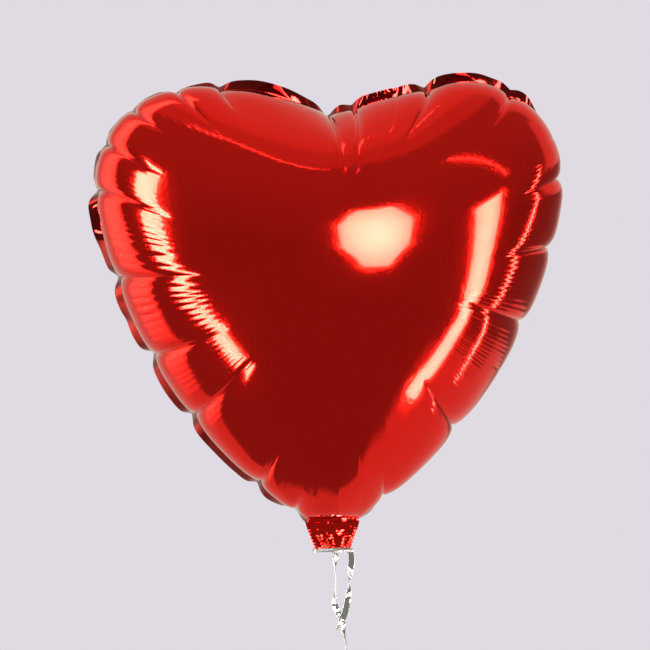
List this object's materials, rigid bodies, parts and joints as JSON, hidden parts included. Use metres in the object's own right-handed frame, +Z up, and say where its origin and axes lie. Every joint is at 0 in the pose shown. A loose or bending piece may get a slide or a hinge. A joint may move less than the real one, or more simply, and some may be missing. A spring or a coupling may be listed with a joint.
{
  "type": "heart-shaped foil balloon",
  "caption": "Inflated heart-shaped foil balloon, its neck tied off with a thin curling ribbon that ends in a knotted hand loop.",
  "frame": {"origin": "middle of the ribbon tie round the gathered neck, on the seam plane", "axes": "+Z up the heart's middle line from the neck to the notch, -Y out of the front face, +X to the viewer's right"},
  "size_m": [0.396, 0.178, 0.5231],
  "materials": {
    "red_foil": "mirror-bright metallised film under red lacquer",
    "valve_film": "clear heat-sealing film",
    "silver_ribbon": "bright metallised curling ribbon"
  },
  "bodies": {
    "balloon": {"front_panel": "red_foil", "back_panel": "red_foil", "neck_front": "red_foil", "neck_back": "red_foil", "valve_sheet_front": "valve_film", "valve_sheet_back": "valve_film", "ribbon_wrap": "silver_ribbon", "tie_knot": "silver_ribbon"},
    "ribbon_loop": {"loop_strand_left": "silver_ribbon", "loop_strand_right": "silver_ribbon", "loop_knot": "silver_ribbon", "loop_tail": "silver_ribbon"},
    "ribbon_end": {"ribbon_line": "silver_ribbon", "hand_knot": "silver_ribbon", "hand_loop": "silver_ribbon"}
  },
  "joints": [
    {"name": "ribbon_swing", "type": "hinge", "parent": "balloon", "child": "ribbon_loop", "pos_m": [0.0025, 0, -0.0047], "axis": [1, 0, 0], "range_deg": [-60, 60]},
    {"name": "ribbon_sway", "type": "hinge", "parent": "ribbon_loop", "child": "ribbon_end", "pos_m": [0.0075, 0, -0.0615], "axis": [0, 1, 0], "range_deg": [-60, 60]}
  ]
}
